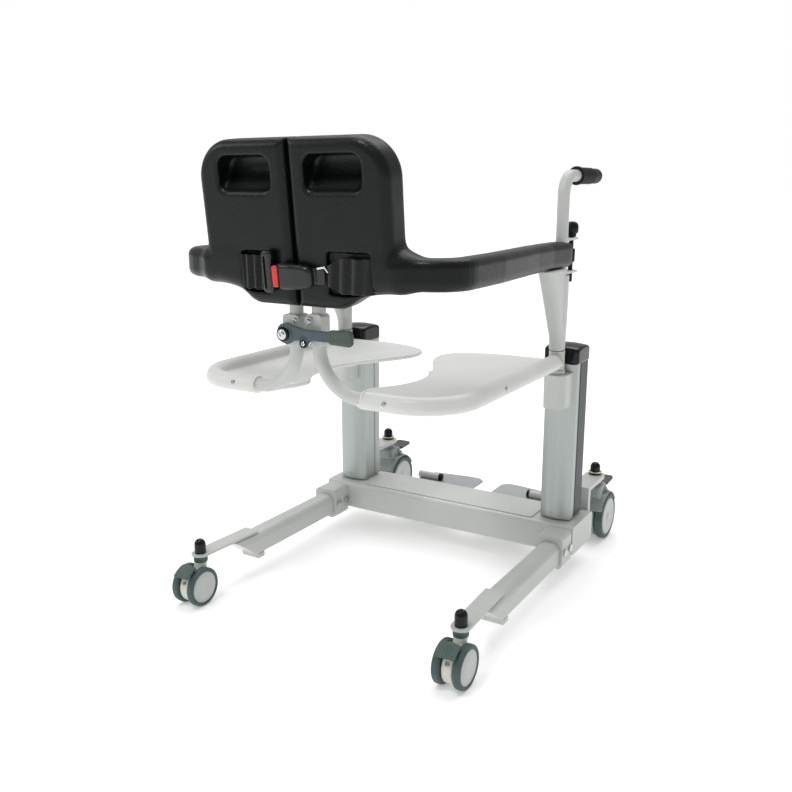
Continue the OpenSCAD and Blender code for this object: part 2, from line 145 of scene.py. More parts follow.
BRASS = material("plated_nut", (0.46, 0.41, 0.28), 0.3, metal=1.0,
                 grain=0.2, grain_size=0.8, mottle=0.08, mottle_size=6)
LEVER = material("lever_paint", (0.040, 0.066, 0.078), 0.30, grain=0.3,
                 grain_size=1.5, mottle=0.12, mottle_size=12, coat=0.15)
LEVER_RUBBER = material("lever_rubber", (0.060, 0.078, 0.068), 0.55,
                        grain=0.5, grain_size=1.2, mottle=0.1,
                        mottle_size=14)
TYRE = material("tyre", (0.062, 0.096, 0.092), 0.50, grain=0.35,
                grain_size=1.2, mottle=0.12, mottle_size=14, specular=0.35)
PEDAL = material("pedal", (0.078, 0.122, 0.112), 0.46, grain=0.3,
                 grain_size=1.2, mottle=0.1, mottle_size=12, specular=0.4)
DARK_PEDAL = material("dark_pedal", (0.055, 0.060, 0.055), 0.46, grain=0.3,
                      grain_size=1.2, mottle=0.1, mottle_size=12,
                      specular=0.4)
DISC = material("wheel_disc", (0.50, 0.52, 0.505), 0.36, grain=0.2,
                grain_size=2.0, mottle=0.03, mottle_size=20, specular=0.4)
CASTER_WHITE = material("caster_white", (0.66, 0.68, 0.60), 0.36,
                        grain=0.15, grain_size=2.0, mottle=0.03,
                        mottle_size=20, specular=0.4)
CASTER_GREY = material("caster_grey", (0.27, 0.30, 0.295), 0.38, grain=0.25,
                       grain_size=1.6, mottle=0.06, mottle_size=20,
                       specular=0.4)
PLATE = material("footplate", (0.36, 0.375, 0.38), 0.42, metal=0.2,
                 grain=0.5, grain_size=1.8, mottle=0.05, mottle_size=30)
WEBBING = material("webbing", (0.0105, 0.0120, 0.0115), 0.75, grain=0.5,
                   grain_size=0.9, mottle=0.25, mottle_size=5, sheen=0.15,
                   specular=0.25, ribs=2.2)
BUCKLE = material("buckle", (0.0075, 0.0088, 0.0090), 0.25, grain=0.15,
                  grain_size=1.6, mottle=0.12, mottle_size=16, coat=0.2,
                  specular=0.35)
RED = material("red_button", (0.56, 0.022, 0.026), 0.34, grain=0.1,
               grain_size=2.0, mottle=0.06, mottle_size=8)


# ------------------------------------------------------------------- meshes
def place(points):
    p = np.array(points, float).reshape(-1, 3)
    p[:, 1] += MID_Y
    p[:, 2] -= FLOOR_Z
    return p * 0.001


def piece(name, points, faces, skin, body, stands_for=(), slot=None,
          sharp=None, mirror=False):
    """Makes a mesh object from millimetre points, mirrored in x if asked."""
    p = np.array(points, float).reshape(-1, 3)
    faces = [tuple(f) for f in faces]
    if mirror:
        p = p * (-1, 1, 1)
        faces = [f[::-1] for f in faces]
    mesh = bpy.data.meshes.new(name)
    mesh.from_pydata([tuple(q) for q in place(p)], [], faces)
    mesh.validate()
    if sharp:
        shell = bmesh.new()
        shell.from_mesh(mesh)
        bmesh.ops.recalc_face_normals(shell, faces=shell.faces)
        shell.to_mesh(mesh)
        shell.free()
    mesh.update()
    mesh.shade_smooth()
    if sharp:
        mesh.set_sharp_from_angle(angle=math.radians(sharp))
    mesh.materials.append(skin)
    o = bpy.data.objects.new(name, mesh)
    bpy.context.scene.collection.objects.link(o)
    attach(o, body)
    if stands_for:
        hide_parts(*stands_for)
    return o


def surface(field, low, high, step, polish=2):
    """The zero surface of a distance field, as points and quads."""
    axes = [np.arange(a - 1.5 * step, b + 2.5 * step, step)
            for a, b in zip(low, high)]
    grid = np.meshgrid(*axes, indexing="ij")
    v = field(*grid)
    inside = v < 0
    cells = tuple(n - 1 for n in v.shape)
    count = np.zeros(cells, np.int8)
    for i in (0, 1):
        for j in (0, 1):
            for k in (0, 1):
                count += inside[i:i + cells[0], j:j + cells[1],
                                k:k + cells[2]]
    mixed = (count > 0) & (count < 8)
    number = -np.ones(cells, np.int64)
    number[mixed] = np.arange(mixed.sum())
    total = np.zeros((mixed.sum(), 3))
    hits = np.zeros(mixed.sum())
    faces = []
    origin = np.array([a[0] for a in axes])
    for axis in range(3):
        first = [slice(None)] * 3
        second = [slice(None)] * 3
        first[axis], second[axis] = slice(0, -1), slice(1, None)
        a, b = v[tuple(first)], v[tuple(second)]
        cross = (a < 0) != (b < 0)
        at = np.argwhere(cross)
        if not len(at):
            continue
        va, vb = a[cross], b[cross]
        points = at.astype(float)
        points[:, axis] += va / (va - vb)
        u, w = [(1, 2), (2, 0), (0, 1)][axis]
        ring = []
        for du, dw in ((-1, -1), (0, -1), (0, 0), (-1, 0)):
            cell = at.copy()
            cell[:, u] += du
            cell[:, w] += dw
            ok = np.all((cell >= 0) & (cell < cells), axis=1)
            ids = np.full(len(at), -1)
            ids[ok] = number[tuple(cell[ok].T)]
            ring.append(ids)
            good = ids >= 0
            np.add.at(total, ids[good], points[good])
            np.add.at(hits, ids[good], 1)
        quads = np.stack(ring, 1)
        whole = np.all(quads >= 0, axis=1)
        outward = va < 0
        faces.append(quads[whole & outward])
        faces.append(quads[whole & ~outward][:, ::-1])
    points = total / hits[:, None] * step + origin
    eps = 0.02 * step
    for _ in range(polish):
        x, y, z = points.T
        f = field(x, y, z)
        g = np.stack([
            field(x + eps, y, z) - field(x - eps, y, z),
            field(x, y + eps, z) - field(x, y - eps, z),
            field(x, y, z + eps) - field(x, y, z - eps)], 1) / (2 * eps)
        move = -f[:, None] * g / np.maximum((g * g).sum(1), 0.2)[:, None]
        size = np.linalg.norm(move, axis=1)
        move *= np.minimum(1, 0.5 * step / np.maximum(size, 1e-9))[:, None]
        points = points + move
    return points, np.concatenate(faces)


# ---- distance fields, in millimetres
def smin(a, b, k):
    h = np.clip(0.5 + 0.5 * (b - a) / k, 0, 1)
    return b * (1 - h) + a * h - k * h * (1 - h)


def smax(a, b, k):
    return -smin(-a, -b, k)


def corner(d, e, r):
    """Where two walls meet, rounded with radius r."""
    return (np.minimum(np.maximum(d + r, e + r), 0)
            + np.hypot(np.maximum(d + r, 0), np.maximum(e + r, 0)) - r)


def rect(x, y, x0, x1, y0, y1, r):
    dx = np.abs(x - (x0 + x1) / 2) - (x1 - x0) / 2
    dy = np.abs(y - (y0 + y1) / 2) - (y1 - y0) / 2
    return corner(dx, dy, r)


def slab(d, w, w0, w1, r):
    """A flat outline d, drawn from w0 to w1, with edges rounded by r."""
    return corner(d, np.abs(w - (w0 + w1) / 2) - (w1 - w0) / 2, r)


def cuboid(x, y, z, low, high, r):
    return slab(rect(x, y, low[0], high[0], low[1], high[1], r),
                z, low[2], high[2], r)


def near_line(x, y, points):
    """Distance in a plane to a chain of straight lines."""
    best = np.full(np.shape(x), 1e9)
    for (ax, ay), (bx, by) in zip(points[:-1], points[1:]):
        dx, dy = bx - ax, by - ay
        t = np.clip(((x - ax) * dx + (y - ay) * dy) / (dx * dx + dy * dy),
                    0, 1)
        best = np.minimum(best, np.hypot(x - ax - t * dx, y - ay - t * dy))
    return best


def outline(x, y, corners):
    """Signed distance in a plane to a closed outline of corners."""
    best = near_line(x, y, list(corners) + [corners[0]])
    inside = np.zeros(np.shape(x), bool)
    for (ax, ay), (bx, by) in zip(corners, corners[1:] + corners[:1]):
        if ay == by:
            continue
        hit = (ay > y) != (by > y)
        inside ^= hit & (x < (bx - ax) * (y - ay) / (by - ay) + ax)
    return np.where(inside, -best, best)


def dress(node, skin, edge=0.8, slot=None):
    """Gives a CAD node its material and softens its sharp edges."""
    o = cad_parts[node]
    o.data.materials.clear()
    o.data.materials.append(skin)
    if "custom_normal" in o.data.attributes:
        o.data.attributes.remove(o.data.attributes["custom_normal"])
    o.data.shade_smooth()
    weld = o.modifiers.new("weld", "WELD")
    weld.merge_threshold = 0.00002
    flat = o.modifiers.new("flat", "DECIMATE")
    flat.decimate_type = "DISSOLVE"
    flat.angle_limit = math.radians(0.5)
    if edge:
        bevel = o.modifiers.new("edge", "BEVEL")
        bevel.width = edge * 0.001
        bevel.segments = 2
        bevel.limit_method = "ANGLE"
        bevel.angle_limit = math.radians(32)
        bevel.harden_normals = True
    return o


# ------------------------------------------------- armrest and back halves
ARM_LINE = [(215, -440), (214, -400), (211, -340), (213, -270),
            (219, -190), (223.5, -120), (224, -34)]
ARM_LINE += [(180 + 44 * math.cos(math.radians(a)),
              -34 + 44 * math.sin(math.radians(a)))
             for a in range(10, 91, 10)]
ARM_LINE += [(100, 10)]


def leaned(y, z):
    """Heights and depths measured on the leaning rear face of the back."""
    dy, dz = y - BACK_FOOT[0], z - BACK_FOOT[1]
    c, s = math.cos(LEAN), math.sin(LEAN)
    return dy * c - dz * s, dz * c + dy * s + BACK_FOOT[1]


def back_arm_field(x, y, z):
    ly, lz = leaned(y, z)
    d = rect(x, lz, -90, 156, 560, 758, 54)
    d = smin(d, rect(x, lz, -90, 92, 533, 600, 26), 34)
    d = smin(d, rect(x, lz, -90, 168, 563, 604, 12), 14)
    d = smax(d, 1.7 - x, 1)
    crown = 4.0 * np.clip(1 - ((x - 78) / 95) ** 2, 0, 1)
    d = slab(d, ly, -50 + crown * 0.6, 0, 13)
    arm = slab(near_line(x, y, ARM_LINE) - 18, z, 563, 606, 12)
    arm = smax(arm, -416 - y, 8)
    d = smin(d, arm, 26)
    d = smax(d, 1.7 - x, 1)
    # the hand pocket, whose floor slopes in and up from its lower lip
    hole = rect(x, lz, 28, 118, 686, 736, 15)
    hole = smax(hole, -30 - ly, 8)
    hole = smax(hole, -(ly + (lz - 684) * 0.95) * 0.72, 8)
    d = smax(d, -hole, 5)
    return d


def strap_slot(d, x, y, z, x0, x1, z0, z1):
    ly, lz = leaned(y, z)
    return smax(d, -slab(rect(x, lz, x0, x1, z0, z1, 5), ly, -9, 9, 2), 3)


def left_back(x, y, z):
    return strap_slot(back_arm_field(x, y, z), x, y, z, 41, 90, 551, 608)


def right_back(x, y, z):
    return strap_slot(back_arm_field(x, y, z), x, y, z, 56, 125, 553, 611)


BACK_STEP = 2.6
for side, field, flip in (("left", left_back, False),
                          ("right", right_back, True)):
    pts, quads = surface(field, (0, -420, 528), (246, 66, 764), BACK_STEP)
    pad = piece("back_and_arm_" + side, pts, quads, FOAM, side + "_half",
                ["back_arm_" + side], "foam", mirror=flip)


# --------------------------------------------------------------- seat halves
FRONT_LIP = [(-120, -225), (70, -225), (56, -255), (44, -276), (32, -300),
             (23, -325), (21, -346), (25, -363), (36, -378), (55, -390),
             (82, -400), (112, -408), (112, -470), (-120, -470)]
REAR_SLOT = [(-120, -62), (52, -62), (57, -30), (70, -4), (97, 40),
             (-120, 40)]


def seat_field(x, y, z):
    d = rect(x, y, -200, 234.5, -408, 24.5, 10)
    turn = (x > 147) & (y > -63)
    d = np.where(turn, np.hypot(x - 147, y + 63) - 87.5, d)
    hole = smin(np.hypot(x + 30, y + 150) - 119,
                outline(x, y, FRONT_LIP), 14)
    hole = smin(hole, outline(x, y, REAR_SLOT), 10)
    d = smax(d, -hole, 8)
    d = smax(d, 14.2 - np.hypot(x - 217, y + 400), 3)
    # the plate dips a little towards its middle and rises at its edges
    dip = 2.4 * np.clip(-d / 26, 0, 1) ** 0.7
    top = 406.2 - dip
    plate = corner(d, np.maximum(z - top, 398.2 - z), 3.2)
    rim = np.where(
        (x > 147) & (y > -63),
        np.hypot(np.hypot(x - 147, y + 63) - 75, z - 408),
        np.where(y > -63, np.hypot(y - 12, z - 408),
                 np.hypot(x - 222, z - 408)))
    rim = rim - 12.5
    rim = smax(rim, 95 - x, 3)
    rim = smax(rim, -376 - y, 6)
    rim = np.where((x < 120) & (y < -40), 50, rim)
    # the outer side stays clear of the column cap in the swing
    clear = np.maximum(231.9 - x, y + 363.5)
    return smax(smin(plate, rim, 7), -clear, 1.2)


SEAT_STEP = 2.0
seat_points, seat_quads = surface(seat_field, (12, -412, 392),
                                  (238, 28, 424), SEAT_STEP)
for side, s in SIDES:
    piece("seat_shell_" + side, seat_points, seat_quads, SEAT,
          side + "_half", ["seat_" + side], "seat_plastic", mirror=s < 0)

# ------------------------------------------------------------- more helpers
def turned(profile, centre, axis, steps=64):
    """Points and faces of a closed (along, radius) profile turned round."""
    points, faces = [], []
    n = len(profile)
    for i in range(steps):
        a = 2 * math.pi * i / steps
        c, s = math.cos(a), math.sin(a)
        for along, r in profile:
            p = {"x": (along, r * c, r * s), "y": (r * s, along, r * c),
                 "z": (r * c, r * s, along)}[axis]
            points.append([p[k] + centre[k] for k in range(3)])
    for i in range(steps):
        for j in range(n):
            a, b = i * n + j, i * n + (j + 1) % n
            c = ((i + 1) % steps) * n
            faces.append((a, b, c + (j + 1) % n, c + j))
    return points, faces


def joined(parts):
    points, faces = [], []
    for p, f in parts:
        base = len(points)
        points += [list(q) for q in p]
        faces += [tuple(i + base for i in face) for face in f]
    return points, faces


def flipped(part, about):
    """The mirror image of a part across the plane x = about."""
    points, faces = part
    return ([[2 * about - p[0], p[1], p[2]] for p in points],
            [face[::-1] for face in faces])


def head(r, h, hole=0.42):
    """Profile of a button screw head of radius r and height h."""
    return [(0, 0.05), (0, r), (0.35 * h, r), (0.8 * h, 0.78 * r),
            (h, 0.55 * r), (h, hole * r), (0.35 * h, hole * r * 0.9),
            (0.35 * h, 0.05)]


def screw(name, centre, axis, r, h, body, skin=None, sign=1, steps=32,
          hole=0.42, mirror=False, **more):
    profile = [(sign * a, b) for a, b in head(r, h, hole)]
    points, faces = turned(profile, centre, axis, steps)
    if (sign > 0) != (axis == "y"):
        faces = [f[::-1] for f in faces]
    return piece(name, points, faces, skin or SCREW, body, sharp=35,
                 mirror=mirror, **more)


def strip(name, low, high, skin, body, mirror=False, edge=0.15, **more):
    """A thin flat box between two corners, with softened edges."""
    (x0, y0, z0), (x1, y1, z1) = low, high
    points = [(x, y, z) for x in (x0, x1) for y in (y0, y1)
              for z in (z0, z1)]
    faces = [(0, 1, 3, 2), (4, 6, 7, 5), (0, 4, 5, 1), (2, 3, 7, 6),
             (0, 2, 6, 4), (1, 5, 7, 3)]
    o = piece(name, points, faces, skin, body, sharp=30, mirror=mirror,
              **more)
    bevel = o.modifiers.new("edge", "BEVEL")
    bevel.width = edge * 0.001
    bevel.segments = 2
    return o


def solid(name, field, low, high, step, skin, body, **more):
    """A piece whose surface is the zero of a distance field."""
    points, quads = surface(field, low, high,
                            step * (1.0))
    return piece(name, points, quads, skin, body, **more)


def smooth_step(v, a, b):
    t = np.clip((v - a) / (b - a), 0, 1)
    return t * t * (3 - 2 * t)


def capsule(x, y, z, a, b, r):
    ax, ay, az = a
    dx, dy, dz = b[0] - ax, b[1] - ay, b[2] - az
    t = np.clip(((x - ax) * dx + (y - ay) * dy + (z - az) * dz)
                / (dx * dx + dy * dy + dz * dz), 0, 1)
    return np.sqrt((x - ax - t * dx) ** 2 + (y - ay - t * dy) ** 2
                   + (z - az - t * dz) ** 2) - r


# ------------------------------------------------------------- plain nodes
for node in ("beam", "leg_sockets", "legs", "front_uprights"):
    dress(node, PAINT, 1.0)
dress("beam_cover", PAINT, 0.6)
dress("caster_plates", PAINT, 0.8)
dress("leg_end_caps", PAINT, 0.6)
dress("leg_bolts", CHROME, 0.6)
dress("rear_stem_caps", SHINY_BLACK, 0.6)
dress("front_stem_caps", SHINY_BLACK, 0.6)
dress("inner_columns", ALUMINIUM, 0.6)
dress("lift_screws", SCREW, 0.4)
dress("battery_pack", BLACK, 1.0)
for side, s in SIDES:
    dress("outer_column_" + side, ALUMINIUM, 0.5)
    dress("pivot_bracket_" + side, PAINT, 2.5)
    dress("post_" + side, PAINT, 0.4)
    dress("grip_" + side, RUBBER, 0.6)
    dress("seat_tube_" + side, PAINT, 0.4)
    dress("arm_screws_" + side, SCREW, 0.3)
    dress("footplate_" + side, PLATE, 0.5)
    rod = turned([(103, 7.0), (103, 7.35), (152.3, 7.35), (152.4, 0.05)],
                 (0, -585, 86.9), "x", 40)
    piece("footplate_rod_" + side, *rod, PAINT, side + "_footplate",
          sharp=40, mirror=s < 0)
    end = turned([(97.4, 0.05), (97.4, 5.6), (98.6, 7.7), (104, 8.0),
                  (104, 7.0)], (0, -585, 86.9), "x", 40)
    piece("footplate_rod_end_" + side, *end, BLACK, side + "_footplate",
          sharp=40, mirror=s < 0)
dress("latch_keeper", PAINT, 2.0)
dress("latch_block", PAINT, 2.0)
dress("latch_bolts", CHROME, 0.7)

# ------------------------------------------------------------------ columns
COL_X = 217.6


def cap_field(x, y, z):
    d = rect(x, y, COL_X - 31.6, COL_X + 31.6, -481, -415.5, 9)
    dome = np.sqrt((x - COL_X) ** 2 + ((y + 447) * 1.1) ** 2
                   + (z - 280) ** 2) - 150
    d = corner(d, np.maximum(dome, 397 - z), 4.5)
    inner = np.maximum(np.hypot(x - COL_X, y + 471.8) - 54.9,
                       rect(x, y, COL_X - 28.6, COL_X + 28.6,
                            -478.1, -410, 0.5))
    return smax(d, -np.maximum(inner, z - 412), 0.6)


cap_mesh = surface(cap_field, (184, -483, 395), (251, -413, 432),
                   1.3)
for side, s in SIDES:
    body = side + "_column"
    piece("column_top_" + side, *cap_mesh, SHINY_BLACK, body,
          stands_for=["column_cap_" + side], slot="cap_black",
          mirror=s < 0)
    # A dark strip down each column's outer side is painted reflection on the
    # aluminium; the narrower line beside it has the same painted dark colour.
    strip("column_strip_" + side, (246.0, -477.0, 116),
          (246.7, -441.5, 399), PAINTED_REFLECTION, body, mirror=s < 0)
    strip("column_line_" + side, (246.0, -440.6, 116),
          (246.35, -438.9, 399), PAINTED_REFLECTION, body, mirror=s < 0)
    screw("column_screw_" + side, (COL_X + s * 4, -417.6, 125), "y", 2.6,
          0.9, body, mirror=s < 0)
    # the bolt head on the upright that carries the front caster
    screw("upright_screw_" + side, (235, -512.2, 100), "y", 6.0, 3.0,
          "base", sign=-1, mirror=s < 0)

# ------------------------------------------- gussets between post and arm
def gusset_field(x, y, z):
    grow = smooth_step(z, 424, 470)
    back = -384 + 60 * np.clip((z - 440) / 122, 0, 1) ** 1.15
    half = 12.2 - 3.0 * (1 - grow)
    dx, dy = x - 217, y + 400
    tube = np.hypot(dx, dy) - (13.2 + 1.3 * smooth_step(z, 430, 520))
    blade = rect(x, y, 217 - half, 217 + half, -404, back, 8.5)
    d = smin(tube, blade, 7)
    d = corner(d, np.maximum(424.5 - z, z - 563.3), 3)
    return smax(d, 10.15 - np.hypot(dx, dy), 0.5)


def gusset_clear(x, y, z):
    """The gusset with room for the plunger's lower tab."""
    tab = np.maximum(np.maximum(551.5 - z, y + 389.5), np.abs(x - 217) - 20)
    return smax(gusset_field(x, y, z), -tab, 0.6)


gusset_mesh = surface(gusset_clear, (200, -417, 422), (234, -318, 566),
                      1.7)
for side, s in SIDES:
    piece("arm_bracket_" + side, *gusset_mesh, PAINT, side + "_half",
          stands_for=["gusset_" + side], slot="frame_paint", mirror=s < 0)

# -------------------------------------------------- grips and lock plungers
for side, s in SIDES:
    rings = []
    for k in range(6):
        y = -470 - 9 * k
        rings.append(turned([(y, 12.6), (y, 13.7), (y - 1.2, 14.0),
                             (y - 4.8, 14.0), (y - 6, 13.7), (y - 6, 12.6)],
                            (217, 0, 712), "y", 40))
    rings.append(turned([(-453.5, 10.3), (-453.5, 14.8), (-455, 15.6),
                         (-457.5, 15.6), (-459, 14.6), (-459, 12.0)],
                        (217, 0, 712), "y", 40))
    piece("grip_rings_" + side, *joined(rings), RUBBER, side + "_half",
          sharp=50, mirror=s < 0)
    knob = turned([(536, 0.05), (536, 3.2), (538, 4), (569.5, 4),
                   (570, 6.6), (571, 7), (591, 7), (592, 6.4), (592.4, 4),
                   (611.5, 4), (612, 7.2), (613, 8), (617, 8.2),
                   (618, 9.6), (619.5, 11), (627, 11.4), (632, 10.6),
                   (635.4, 8.2), (637, 4.5), (637.4, 0.05)],
                  (217, -445, 0), "z", 48)
    knob = (knob[0], [f[::-1] for f in knob[1]])
    piece("lock_knob_" + side, *knob, BLACK, side + "_plunger",
          stands_for=["plunger_" + side], slot="cap_black", sharp=40,
          mirror=s < 0)

# ------------------------------------------------- screws under the seat
for side, s in SIDES:
    half = side + "_half"
    screw("rim_screw_" + side, (133, 24.3, 409), "y", 4.0, 1.6, half,
          mirror=s < 0)
    screw("rim_screw_side_" + side, (234.4, -150, 408), "x", 4.0, 1.6, half,
          mirror=s < 0)
    screw("socket_screw_" + side, (230.4, -386, 408), "x", 3.6, 1.6, half,
          mirror=s < 0)
    seam = [(94.0, 10.1), (94.0, 13.0), (95.0, 13.4), (96.6, 13.4),
            (97.4, 12.6), (97.4, 10.1)]
    piece("tube_ring_" + side, *turned(seam, (0, 12, 408), "x", 40), SEAT,
          half, sharp=40, mirror=s < 0)

# -------------------------------------------------------------- rear casters
STEM_X = 243
REAR_AXLE = (0, 16, 50)


def rear_body(x, y, z):
    x = x - STEM_X
    dy, dz = y - 16, z - 50
    turn = np.degrees(np.arctan2(dz, dy))
    r = (27.6 - 4.7 * smooth_step(turn, 55, 64)
         * (1 - smooth_step(turn, 97, 108)))
    d = slab((np.hypot(dy, dz) - r) * 0.8, x, -8.8, 8.8, 2.5)
    neck = corner(np.hypot(x, y) - 9.2, np.maximum(66 - z, z - 97), 1)
    d = smin(d, neck, 5)
    d = smin(d, capsule(x, y, z, (0, 1, 86), (0, 9, 65), 8.6), 5)
    lugs = slab(np.hypot(y - 18, z - 76.5) - 5.5, np.abs(x), 7, 9.4, 1)
    d = smin(d, lugs, 2)
    # a small square pocket under the pedal's lip
    pocket = cuboid(x, y, z, (-3.4, 34, 59.5), (3.4, 49, 65), 0.8)
    return smax(d, -pocket, 0.8)


def rear_pedal(x, y, z):
    x = x - STEM_X
    dy, dz = y - 16, z - 50
    radius = np.hypot(dy, dz)
    turn = np.degrees(np.arctan2(dz, dy))
    ridge = 0.5 * np.sin(2 * math.pi * turn / 4.4)
    # the free end stands further off, as the pedal tips when pressed
    shell = np.abs(radius - 36.9 - 0.085 * (74 - turn)) - 1.7 - ridge
    ends = np.maximum((36 - turn) * 0.6, (turn - 74) * 0.6)
    d = slab(np.maximum(shell * 0.8, ends), x, -15, 15, 1.2)
    arm = capsule(x * 0.6, y, z, (0, 18, 77.5), (0, 27, 84), 3.7)
    return smin(d, arm, 1.5)


rear_body_mesh = surface(rear_body, (232, -12, 3), (254, 56, 99),
                         1.05)
rear_pedal_mesh = surface(rear_pedal, (226, 8, 60), (260, 62, 94),
                          0.62)
tyre = [(21.0, 7), (21.0, 25.7), (21.7, 26.3), (22.5, 27.4), (22.5, 28.9),
        (21.9, 30.9), (20.7, 32.1), (19.0, 32.5), (13.5, 32.5),
        (11.8, 32.1), (10.6, 30.9), (10.0, 28.9), (10.0, 7)]
disc_face = [(20.0, 0.05), (23.0, 0.05), (22.9, 7.8), (22.7, 15.6), (22.4, 20.5),
             (22.05, 21.0), (22.05, 21.5), (22.25, 22.0), (21.8, 24.6),
             (21.2, 25.6), (20.0, 25.6)]
for side, s in SIDES:
    name = f"rear_{side}_"
    more = dict(mirror=s < 0)
    piece(name + "housing", *rear_body_mesh, CASTER_WHITE,
          name + "fork_body", stands_for=[name + "fork"],
          slot="caster_white", **more)
    ring = turned([(85.8, 8.6), (85.8, 10.6), (86.8, 11.6), (90.0, 11.7),
                   (90.4, 11.2), (91.0, 11.2), (91.4, 11.7), (96.2, 11.6),
                   (96.8, 11.0), (96.8, 5.0)], (STEM_X, 0, 0), "z", 56)
    piece(name + "collar", ring[0], [f[::-1] for f in ring[1]], PEDAL,
          name + "fork_body", sharp=40, **more)
    near = turned([(a + STEM_X, b) for a, b in tyre], REAR_AXLE, "x", 88)
    axle = turned([(232 - 0.5, 0.05), (231.5, 4), (254.5, 4),
                   (254.5, 0.05)], REAR_AXLE, "x", 24)
    piece(name + "tyres", *joined([near, flipped(near, STEM_X), axle]), TYRE,
          name + "wheels_body", stands_for=[name + "wheels"],
          slot="tyre_grey", sharp=50, **more)
    face = turned([(a + STEM_X, b) for a, b in disc_face], REAR_AXLE, "x",
                  88)
    piece(name + "discs", *joined([face, flipped(face, STEM_X)]), DISC,
          name + "wheels_body", sharp=50, **more)
    piece(name + "foot_pedal", *rear_pedal_mesh, PEDAL,
          name + "brake_body", stands_for=[name + "brake"],
          slot="pedal_grey", **more)

# ------------------------------------------------------------- front casters
FX, FY = 235, -588
FRONT_AXLE = (0, -610, 62.5)


def front_local(x, y, z):
    return x - FX, FY - y, z


def front_hood(x, y, z):
    x, y, z = front_local(x, y, z)
    dy, dz = y - 22, z - 62.5
    radius = np.hypot(dy, dz)
    # the web between the wheels
    d = slab(radius - 41.4, x, -7.6, 7.6, 2)
    # the covers over the wheels, hollow inside
    cover = slab(radius - 50, x, -26.6, 26.6, 8)
    room = slab(radius - 47, np.abs(x), 8.2, 27.5, 1)
    cover = smax(cover, -room, 1)
    cover = smax(cover, 76.9 + 0.15 * np.abs(y - 22) - z, 2)
    d = smin(d, cover, 2)
    # the upper housing with its waist
    top = cuboid(x, y, z, (-17, -16, 107), (17, 34, 136), 7)
    top = smax(top, (z - 136) + 0.28 * np.abs(y - 2), 4)
    d = smin(d, top, 9)
    neck = slab(np.hypot(x, y) - 12, z, 120, 143.8, 1)
    d = smin(d, neck, 2)
    slot = outline(y, z, [(-6, 111), (22, 111), (14, 129), (-2, 125)])
    slot = slab(slot, np.abs(x), 14.5, 24, 1)
    d = smax(d, -slot, 1.2)
    room = slab(np.hypot(y - 20, z - 121.5) - 7.5, x, -11, 11, 1)
    gap = cuboid(x, y, z, (-17.6, 22, 119), (17.6, 60, 137), 1)
    return smax(d, -np.minimum(room, gap), 0.8)


def front_pedal(x, y, z):
    x, y, z = front_local(x, y, z)
    lift = (z - 121.5) - (y - 20) * 0.052
    edge = rect(x, y, -16, 16, 29, 71, 6)
    d = corner(edge, np.abs(lift - 3 - 0.012 * (y - 30) ** 1.0) - 3.0, 1.5)
    arm = cuboid(x, y, lift, (-8, 18, 0.2), (8, 36, 5.2), 1.2)
    hub = slab(np.hypot(y - 20, z - 121.5) - 4.8, x, -8.2, 8.2, 1)
    d = smin(smin(d, arm, 1), hub, 1.5)
    groove = np.abs(np.mod(y - 36, 6.0) - 3.0) - 0.9
    cut = np.maximum(np.maximum(groove, 5.6 - lift), np.abs(x) - 12)
    cut = np.maximum(cut, np.maximum(37 - y, y - 66))
    return smax(d, -cut, 0.5)


hood_mesh = surface(front_hood, (206, -668, 2), (264, -552, 146),
                    1.5)
front_pedal_mesh = surface(front_pedal, (217, -668, 113), (253, -600, 135),
                           0.9)
big_tyre = [(23.6, 8.5), (23.6, 35.3), (24.4, 36.4), (25.0, 37.8),
            (25.0, 40.9), (24.0, 43.4), (22.2, 44.7), (20.0, 45.0),
            (14.6, 45.0), (12.2, 44.7), (10.4, 43.4), (9.5, 40.9),
            (9.5, 8.5)]
big_face = [(22.4, 0.05), (25.6, 0.05), (25.6, 6.8), (24.4, 8.1),
            (24.0, 12.6), (24.2, 23.4), (25.0, 29.7), (25.0, 33.7),
            (24.0, 35.4), (22.4, 35.4)]
for side, s in SIDES:
    name = f"front_{side}_"
    more = dict(mirror=s < 0)
    piece(name + "hood", *hood_mesh, CASTER_GREY, name + "fork_body",
          stands_for=[name + "fork"], slot="caster_grey", **more)
    near = turned([(a + FX, b) for a, b in big_tyre], FRONT_AXLE, "x",
                  96)
    axle = turned([(FX - 10, 0.05), (FX - 10, 5), (FX + 10, 5),
                   (FX + 10, 0.05)], FRONT_AXLE, "x", 24)
    piece(name + "tyres", *joined([near, flipped(near, FX), axle]), TYRE,
          name + "wheels_body", stands_for=[name + "wheels"],
          slot="tyre_grey", sharp=50, **more)
    face = turned([(a + FX, b) for a, b in big_face], FRONT_AXLE, "x",
                  96)
    piece(name + "discs", *joined([face, flipped(face, FX)]), DISC,
          name + "wheels_body", sharp=50, **more)
    piece(name + "foot_pedal", *front_pedal_mesh, DARK_PEDAL,
          name + "brake_body", stands_for=[name + "brake"],
          slot="pedal_grey", **more)
    nut = turned([(155.0, 9.8), (155.0, 11.6), (155.8, 12.4),
                  (157.6, 12.4), (158.2, 11.4), (158.2, 9.8)],
                 (FX, FY, 0), "z", 48)
    piece(name + "washer", nut[0], [f[::-1] for f in nut[1]], BRASS,
          "base", sharp=40, **more)

# --------------------------------------------------------------------- latch
def lever_field(x, y, z):
    """The forged lever: an eye round its bolt, a neck and a flat bar."""
    eye = np.hypot(x - 21, z - 495) - 14.5
    neck = outline(x, z, [(18, 508.5), (-16, 503.0), (-56, 503.0),
                          (-56, 488.0), (-14, 488.0), (8, 485), (18, 481)])
    d = smin(eye, neck, 6)
    d = slab(d, y, 34.2, 38.6, 1.2)
    boss = slab(np.hypot(x - 22, z - 494) - 11.2, y, 33.4, 40.6, 1.2)
    d = smin(d, boss, 1.5)
    # a hooked finger below the bar
    finger = slab(np.hypot(x + 11, z - 483) - 6.5, y, 34.4, 38.4, 1.2)
    d = smin(d, finger, 5)
    return smax(d, 4.1 - np.hypot(x - 22, z - 494), 0.3)


